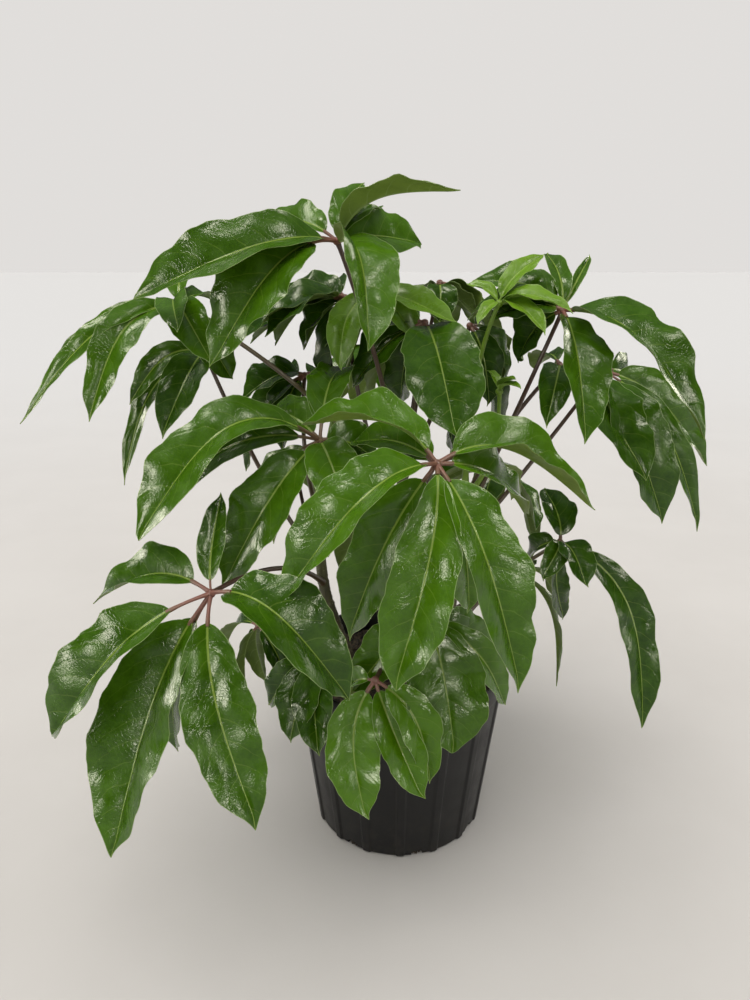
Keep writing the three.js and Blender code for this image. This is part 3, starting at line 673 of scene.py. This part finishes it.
def stalk_part(line, radii, sides, tender, nearness):
    """A length of stalk. In place of where a point lies on a blade, it has how tender and how near the knob
    the point is."""
    points, faces = tube(line, radii, sides)
    nearness = np.repeat(nearness, sides)
    marks = np.stack([np.full_like(nearness, tender), nearness, np.zeros_like(nearness)], -1)
    return points, faces, np.full(len(faces), STALK), marks, points, np.ones(len(points))


def make_blade(hub, face, bare, row, phase, random):
    """A leaflet's blade and its short stalk. Each is points, faces and their materials, then what the materials
    read at every point: its place on the blade, the same laid flat in millimetres, and half the width there."""
    tip, width = np.array(row[:3], float), row[3] * FULLER
    arch = row[4] if len(row) > 4 else USUAL_ARCH
    shape = row[5] if len(row) > 5 else {}
    bend, bare = shape.get("bend", 0), shape.get("bare", bare)
    roll, fold = math.radians(shape.get("roll", 0)), math.radians(shape.get("fold", FOLD))
    swell, taper = shape.get("swell", USUAL_SWELL), shape.get("taper", random.uniform(0.7, 0.95))
    length = np.linalg.norm(tip)
    along = tip / length
    upper = unit(face - along * (face @ along))
    side = np.cross(upper, along)
    lift = upper * arch * length + side * bend * length
    hook = random.choice([-1, 1]) * random.uniform(1.5, 4.5)
    starts = random.uniform(0, 2 * math.pi, 5)

    def frame_at(t):
        """The middle line at shares t of the leaflet's length, with its directions to the left and up."""
        t = np.asarray(t, float)[:, None]
        curl = hook * smooth(t, 0.88, 1.03) ** 2
        droop = upper * 0.015 * length * smooth(t, 0.8, 1.15)
        centre = hub + tip * t + lift * bulge(t) - droop + side * curl
        ahead = unit(tip + lift * bulge_rate(t))
        left = unit(np.cross(upper, ahead))
        left = left * math.cos(roll) + np.cross(ahead, left) * math.sin(roll)
        return centre, left, np.cross(ahead, left)

    # Points in rows from base to tip (down, 0 to 1), each from edge to edge over the midrib (out, -1 to 1).
    even = np.linspace(0, 1, 48 if length > LONG_BLADE else 34)
    rows = 0.65 * even + 0.35 * (0.5 - 0.5 * np.cos(math.pi * even))
    columns = np.array([0, 0.025, 0.07, 0.16, 0.3, 0.46, 0.62, 0.78, 0.91, 1.0])
    columns = np.concatenate([-columns[:0:-1], columns])
    down, out = np.meshgrid(rows, columns, indexing="ij")
    left_half, from_midrib = out >= 0, np.abs(out)
    centre, left, over = frame_at(bare + (1 - bare) * rows)
    half_width = np.maximum(outline(rows, swell, taper) * width / 2, 1.3 - 1.0 * rows)

    beat = 2 * math.pi * down + np.where(left_half, starts[0], starts[1])
    ragged = 0.045 * np.sin(3.1 * beat) + 0.025 * np.sin(6.7 * beat) + 0.01 * np.sin(13 * beat)
    half = half_width[:, None] * (1 + ragged * min(1, length / 190))
    across = half * out
    slant = half_width[:, None] / (length * (1 - bare))
    veins = max(5, round(length * (1 - bare) / VEIN_SPACING))
    vein = veins * (down - 0.55 * slant * from_midrib - 0.6 * slant * from_midrib ** 3)

    midway = np.sin(math.pi * down)
    wave_phase = 2 * math.pi * WAVES * down + np.where(left_half, phase, phase + 2)
    wave = WAVE * width * midway * np.sin(wave_phase) * out ** 2
    ripple_phase = 2 * math.pi * RIPPLES * down + np.where(left_half, starts[2], starts[3])
    ripple = RIPPLE * width * midway * np.sin(ripple_phase) * from_midrib ** 3
    height = half * math.sin(fold) * from_midrib + wave + ripple
    height = height + 1.0 * (1 - np.exp(-(across / 2.6) ** 2)) * smooth(down, 0, 0.1)
    height = height + 0.05 * half * np.sin(math.pi * from_midrib) ** 2 * smooth(down, 0, 0.15)
    between_veins = np.cos(2 * math.pi * (vein + np.where(left_half, 0.0, VEIN_OFFSET)))
    quilt = -QUILT * np.sin(math.pi * from_midrib) * between_veins * smooth(down, 0, 0.1)
    height = height + quilt * np.minimum(1, width / 50)
    for _ in range(4):
        pitch, lean = random.uniform(26, 60), random.uniform(-1.2, 1.2)
        start = random.uniform(0, 2 * math.pi)
        swing = 2 * math.pi * (down * length * math.cos(lean) + across * math.sin(lean)) / pitch + start
        beside_rib = np.minimum(1, np.abs(across) / 6)
        height = height + 0.011 * pitch * np.sin(swing) * beside_rib * smooth(down, 0, 0.1)
    rib = np.exp(-(across / (1.3 - 0.6 * down)) ** 2)
    top = height + 0.55 * (1 - 0.7 * down) * rib
    bottom = height - BLADE_THICKNESS - (1.4 - 1.1 * down) * rib
    lateral = across * math.cos(fold)

    def place(level):
        points = centre[:, None] + left[:, None] * lateral[..., None] + over[:, None] * level[..., None]
        return points.reshape(-1, 3)

    # The two sides are joined all round by a rim of faces.
    count, wide = down.size, len(columns)
    grid = grid_faces(len(rows), wide)
    r, c = np.arange(len(rows) - 1), np.arange(wide - 1)
    last, end = wide - 1, (len(rows) - 1) * wide
    rim = [
        np.stack([r * wide + last, (r + 1) * wide + last,
                  count + (r + 1) * wide + last, count + r * wide + last], -1),
        np.stack([count + r * wide, count + (r + 1) * wide, (r + 1) * wide, r * wide], -1),
        np.stack([c, c + 1, count + c + 1, count + c], -1),
        np.stack([count + end + c, count + end + c + 1, end + c + 1, end + c], -1),
    ]
    faces = np.concatenate([grid[:, ::-1], *rim, count + grid])
    sides = np.full(len(faces), UPPER_SIDE)
    sides[len(faces) - len(grid):] = UNDER_SIDE
    lamina = np.stack([out, down, vein], -1).reshape(-1, 3)
    flat = np.stack([across, down * length, np.full_like(down, random.uniform(0, 900))], -1).reshape(-1, 3)
    blade = (np.concatenate([place(top), place(bottom)]), faces.tolist(), sides, np.tile(lamina, (2, 1)),
             np.tile(flat, (2, 1)), np.tile(half.reshape(-1), 2))

    t = np.linspace(0.0, bare * 1.12, 12)
    slim = min(1.0, max(0.5, width / 60))
    radii = slim * (1.75 + 1.2 * np.exp(-t * length / 5) + 0.5 * np.exp(-((t - bare) * length / 6) ** 2))
    return [blade, stalk_part(frame_at(t)[0], radii, 10, 1.0, 1 - t / t[-1])]


def whorl_rows(count, length, width, droop, turn, face):
    """The leaflets of an even whorl round the direction the leaf faces, every second one a little shorter."""
    axis = unit(face)
    first = unit(np.array((1.0, 0, 0)) - axis * axis[0])
    second = np.cross(axis, first)
    fall = math.radians(droop)
    rows = []
    for i in range(count):
        heading = math.radians(turn + 360 * i / count)
        outward = first * math.cos(heading) + second * math.sin(heading)
        tip = outward * math.cos(fall) - axis * math.sin(fall)
        rows.append((*(tip * length * (0.86 if i % 2 else 1)), width))
    return rows


def make_leaf(number, leaf):
    """A whole leaf as one mesh: stalk, knob and leaflets."""
    random = np.random.default_rng(100 + number)
    stem, height = leaf["on"]
    stem_points = stem_line(STEMS[stem][0], 400) / MM
    root = stem_points[np.argmin(abs(stem_points[:, 2] - height))]
    via, hub, face = (np.array(leaf[key], float) for key in ("via", "hub", "face"))
    t = np.linspace(0, 1, 40)[:, None]
    line = root * (1 - t) ** 2 + via * 2 * t * (1 - t) + hub * t * t
    run = (t * np.linalg.norm(hub - root))[:, 0]
    radii = 3.2 - 0.9 * t[:, 0] + 2.6 * np.exp(-run / 14) + 1.0 * np.exp(-(run[-1] - run) / 5)
    x = np.linspace(-0.995, 0.995, 13)
    knob_line = hub + unit(hub - via) * x[:, None] * 4.2
    parts = [stalk_part(line, radii, 14, 0.0, t[:, 0] ** 2),
             stalk_part(knob_line, 4.6 * np.sqrt(1 - x ** 2), 14, 0.7, np.ones(len(x)))]
    red = leaf.get("red", USUAL_RED)
    tints_and_shade = [red, red]
    for i, row in enumerate(leaf.get("leaflets") or whorl_rows(*leaf["whorl"], face)):
        parts += make_blade(hub, face, leaf.get("bare", BARE), row, 1.7 * i + number, random)
        # Each blade's tint: the leaf's green number with a little chance in it, partly its age and partly
        # painted shade (darker for leaves deep inside and low in the plant).
        tints_and_shade += [leaf["fresh_and_lit"] + random.uniform(-0.14, 0.14), red]

    sizes = [len(part[0]) for part in parts]
    starts = np.cumsum([0, *sizes]).tolist()
    faces = [[start + i for i in corners] for part, start in zip(parts, starts) for corners in part[1]]
    points, sides, lamina, flat, half_width = (
        np.concatenate([part[i] for part in parts]) for i in (0, 2, 3, 4, 5))
    materials = YOUNG_LEAF if leaf.get("young") else MATURE_LEAF
    piece = mesh_piece(leaf["name"] + "_blades", points * MM, faces, materials, sides, crease=60)
    for name, kind, field, value in (("lamina", "FLOAT_VECTOR", "vector", lamina),
                                     ("flat", "FLOAT_VECTOR", "vector", flat),
                                     ("half_width", "FLOAT", "value", half_width),
                                     ("tint_and_shade", "FLOAT", "value", np.repeat(tints_and_shade, sizes))):
        attribute = piece.data.attributes.new(name, kind, "POINT")
        attribute.data.foreach_set(field, np.ascontiguousarray(value, np.float32).ravel())
    return piece


def read(tree, name, output):
    return add(tree, "ShaderNodeAttribute", {}, attribute_name=name).outputs[output]


def make_leaf_pattern():
    """The midrib, side veins, pale rim and surface relief of a leaflet."""
    tree, given, out = group("leaf_pattern", {"Midrib Width": 1.2, "Vein Width": 0.03},
                             ["Midrib", "Veins", "Rim", "Relief", "Cloud", "Speckle"])
    u, s, vein = axes_of(tree, read(tree, "lamina", "Vector"))
    flat = read(tree, "flat", "Vector")
    half = read(tree, "half_width", "Fac")
    beside = maths(tree, "ABSOLUTE", u)
    rib_width = times(tree, given["Midrib Width"], fade(tree, s, 0.0, 1.0, 1.0, 0.3))
    midrib = rest_of(tree, fade(tree, maths(tree, "DIVIDE", times(tree, beside, half), rib_width), 0.5, 1.0))
    rim = rest_of(tree, fade(tree, times(tree, rest_of(tree, beside), half), 0.25, 0.8))

    # How far a point is from the nearest side vein, in vein spacings.
    wander = vary(tree, noise(tree, flat, 0.05, 2.0), 0.35)
    shifted = maths(tree, "ADD", vein, times(tree, maths(tree, "LESS_THAN", u, 0.0), VEIN_OFFSET))
    turn = maths(tree, "FRACT", maths(tree, "ADD", maths(tree, "ADD", shifted, wander), 20.0))
    gap = maths(tree, "SUBTRACT", 0.5, maths(tree, "ABSOLUTE", maths(tree, "SUBTRACT", turn, 0.5)))
    thin = times(tree, given["Vein Width"], fade(tree, beside, 0.0, 1.0, 1.2, 0.5))
    line = rest_of(tree, fade(tree, maths(tree, "DIVIDE", gap, thin), 0.4, 1.0))
    veins = times(tree, line, fade(tree, beside, 0.7, 0.97, 1.0, 0.0))

    cells = add(tree, "ShaderNodeTexVoronoi", {"Vector": flat, "Scale": 0.28}, feature="DISTANCE_TO_EDGE")
    small_veins = rest_of(tree, fade(tree, cells.outputs["Distance"], 0.0, 0.14))
    cloud = noise(tree, flat, 0.05, 4.0, 0.6)
    speckle = noise(tree, flat, 0.34, 1.5, 0.6)
    wrinkles = noise(tree, stretch(tree, flat, (0.12, 1.0, 1.0)), 0.5, 2.5)
    relief = times(tree, midrib, 0.9)
    between_veins = fade(tree, gap, 0.0, 0.22)
    for height, share in ((between_veins, 0.3), (small_veins, -0.15), (speckle, 0.12), (wrinkles, 0.28)):
        relief = maths(tree, "ADD", relief, times(tree, height, share))
    for socket, value in zip(out, (midrib, veins, rim, relief, cloud, speckle)):
        tree.links.new(value, socket)
    return tree


LEAF_PATTERN = make_leaf_pattern()


def make_lamina(name, deep, fresh_and_lit, vein, rim, rough, vein_share, relief, midrib_width):
    """One side of a leaflet: green between a deep and a fresh tone by the leaf's tint, which is partly its age
    and partly painted shade, with its midrib, veins and rim.
    """
    material, tree, shader = new_material(name)
    pattern = use(tree, LEAF_PATTERN, {"Midrib Width": midrib_width, "Vein Width": 0.032})
    patchy = vary(tree, pattern["Cloud"], 0.9)
    fleck = vary(tree, pattern["Speckle"], 0.35)
    # Partly painted shade: the tint gives leaves deep inside and low in the plant a darker green.
    freshness_and_shade = maths(tree, "ADD", maths(tree, "ADD", read(tree, "tint_and_shade", "Fac"), patchy), fleck)
    green = blend(tree, add(tree, "ShaderNodeClamp", {"Value": freshness_and_shade}).outputs[0], deep, fresh_and_lit)
    green = blend(tree, times(tree, pattern["Veins"], vein_share), green, vein)
    green = blend(tree, times(tree, pattern["Rim"], 0.75), green, rim)
    green = blend(tree, times(tree, pattern["Midrib"], 0.85), green, vein)
    roughness = fade(tree, pattern["Cloud"], 0.35, 0.65, rough - 0.05, rough + 0.07)
    give_surface(tree, shader, green, roughness, 0.3)
    give_relief(tree, shader, pattern["Relief"], relief, 0.0007)
    return material


def make_leaf_stalk(name, green, red, tender_red):
    """A stalk, redder at the knob than at its foot and by the blades, as far as the leaf's own redness goes."""
    material, tree, shader = new_material(name)
    place = place_on(tree)
    tender, nearness, _ = axes_of(tree, read(tree, "lamina", "Vector"))
    flush = times(tree, read(tree, "tint_and_shade", "Fac"), fade(tree, nearness, 0.0, 0.5, 0.55, 1.0))
    mottle = vary(tree, noise(tree, place, 300.0, 4.0), 0.5)
    share = add(tree, "ShaderNodeClamp", {"Value": maths(tree, "ADD", flush, mottle)}).outputs[0]
    older = blend(tree, share, green, red)
    younger = blend(tree, share, green, tender_red)
    give_surface(tree, shader, blend(tree, tender, older, younger), 0.42)
    give_relief(tree, shader, noise(tree, place, 500.0), 0.3, 0.0005)
    return material


MATURE_LEAF = [
    make_lamina("mature_leaf_upper_side", deep=(0.022, 0.066, 0.0015, 1), fresh_and_lit=(0.088, 0.215, 0.003, 1),
                vein=(0.25, 0.35, 0.055, 1), rim=(0.34, 0.45, 0.16, 1),
                rough=0.2, vein_share=0.22, relief=0.5, midrib_width=1.5),
    make_lamina("mature_leaf_under_side", deep=(0.13, 0.205, 0.03, 1), fresh_and_lit=(0.23, 0.335, 0.05, 1),
                vein=(0.26, 0.36, 0.1, 1), rim=(0.26, 0.36, 0.09, 1),
                rough=0.5, vein_share=0.6, relief=0.4, midrib_width=1.6),
    make_leaf_stalk("mature_leaf_stalk", green=(0.12, 0.10, 0.035, 1), red=(0.075, 0.028, 0.024, 1),
                    tender_red=(0.27, 0.10, 0.075, 1)),
]
YOUNG_LEAF = [
    make_lamina("young_leaf_upper_side", deep=(0.075, 0.175, 0.006, 1), fresh_and_lit=(0.17, 0.33, 0.012, 1),
                vein=(0.3, 0.45, 0.08, 1), rim=(0.34, 0.5, 0.12, 1),
                rough=0.3, vein_share=0.3, relief=0.5, midrib_width=1.0),
    make_lamina("young_leaf_under_side", deep=(0.14, 0.25, 0.03, 1), fresh_and_lit=(0.21, 0.37, 0.04, 1),
                vein=(0.32, 0.48, 0.1, 1), rim=(0.34, 0.5, 0.12, 1),
                rough=0.45, vein_share=0.4, relief=0.3, midrib_width=1.2),
    make_leaf_stalk("young_leaf_stalk", green=(0.19, 0.33, 0.02, 1), red=(0.12, 0.09, 0.03, 1),
                    tender_red=(0.2, 0.3, 0.04, 1)),
]
for number, leaf in enumerate(LEAVES):
    piece = make_leaf(number, leaf)
    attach(piece, "root")
    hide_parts(leaf["name"])

# ---- The floor, the light and the camera ----
# A plain pale floor that runs out to a pale backdrop, under a broad soft studio light from above and the
# left. Smaller bright panels show only in what is glossy. The camera stands where the photograph was taken
# from, a little above the plant's middle.

ROUND_PANELS = [  # direction from the plant (x, y, z), degrees across, brightness
    (-0.7, -0.7, 0.17, 20, 2.1), (0.58, -0.5, 0.62, 17, 1.4), (0.3, -0.94, 0.14, 12, 0.8),
    (0.84, -0.55, 0.07, 11, 0.6), (-0.5, 0.05, 0.85, 20, 1.7), (0.76, 0.6, 0.26, 16, 0.6),
    (-0.93, 0.3, 0.08, 18, 1.2), (-0.15, -0.55, 0.95, 11, 0.7),
]


def make_floor():
    size = 40.0  # metres from its middle to each side
    corners = [(-size, -size, 0), (size, -size, 0), (size, size, 0), (-size, size, 0)]
    mesh = bpy.data.meshes.new("floor")
    mesh.from_pydata(corners, [], [(0, 1, 2, 3)])
    floor = new_object("floor", mesh)
    floor.location.z = -0.3 * MM
    material, tree, shader = new_material("pale_floor")
    place = place_on(tree)
    tone = fade(tree, noise(tree, place, 2.5, 5.0), 0.3, 0.7)
    near = blend(tree, tone, (0.60, 0.57, 0.535, 1), (0.63, 0.60, 0.565, 1))
    distance = add(tree, "ShaderNodeVectorMath", {0: place}, operation="LENGTH").outputs["Value"]
    far = fade(tree, maths(tree, "SQRT", distance), 0.7, 2.4)
    give_surface(tree, shader, blend(tree, far, near, (0.66, 0.648, 0.635, 1)), 0.8, 0.0)
    mesh.materials.append(material)


def make_light(name, colour, energy, size, place, lights_up):
    """A far light, size degrees across. It either lights the plant or shows in what is glossy, not both."""
    data = bpy.data.lights.new(name, "SUN")
    data.color = colour
    data.energy = energy
    data.angle = math.radians(size)
    light = new_object(name, data)
    light.location = place
    light.rotation_mode = "QUATERNION"
    light.rotation_quaternion = Vector(place).to_track_quat("Z", "Y")
    light.visible_diffuse = lights_up
    light.visible_glossy = not lights_up


def make_room():
    """Pale all round to look at. It lights the plant from overhead and a little from behind, and is dim in
    what is glossy."""
    world = bpy.data.worlds.new("pale_room")
    bpy.context.scene.world = world
    world.use_nodes = True
    tree = world.node_tree
    plain = tree.nodes["Background"]
    plain.inputs["Color"].default_value = (0.75, 0.73, 0.71, 1)
    direction = axes_of(tree, add(tree, "ShaderNodeTexCoord", {}).outputs["Generated"])
    overhead = fade(tree, direction["Z"], 0.2, 0.8, 0.12, 0.85)
    behind = fade(tree, direction["Y"], 0.0, 0.8, 0.0, 0.12)
    ray = add(tree, "ShaderNodeLightPath", {}).outputs
    dimmed = fade(tree, ray["Is Glossy Ray"], 0.0, 1.0, 1.0, 0.26)
    strength = times(tree, maths(tree, "ADD", overhead, behind), dimmed)
    lit = add(tree, "ShaderNodeBackground", {"Color": (1, 1, 1, 1), "Strength": strength})
    both = add(tree, "ShaderNodeMixShader", {0: ray["Is Camera Ray"], 1: lit.outputs[0], 2: plain.outputs[0]})
    tree.links.new(both.outputs[0], tree.nodes["World Output"].inputs["Surface"])


make_floor()
make_room()
make_light("key_softbox", (1.0, 0.99, 0.97), 1.7, 60, (-0.6, -0.9, 3.0), lights_up=True)
for number, (x, y, z, size, energy) in enumerate(ROUND_PANELS):
    make_light(f"bright_panel_{number}", (1.0, 0.96, 0.8), energy, size, (x, y, z), lights_up=False)
bpy.context.scene.view_settings.view_transform = "Standard"

focal_length, picture_height = 751, 1000  # in the photograph's pixels
looking_down = 17.9  # degrees
lens = bpy.data.cameras.new("camera")
lens.sensor_width = 36
lens.lens = 36 * focal_length / picture_height
camera = new_object("camera", lens)
camera.location = (-0.032, -0.881, 0.726)
camera.rotation_euler = (math.radians(90 - looking_down), 0, 0)
bpy.context.scene.camera = camera
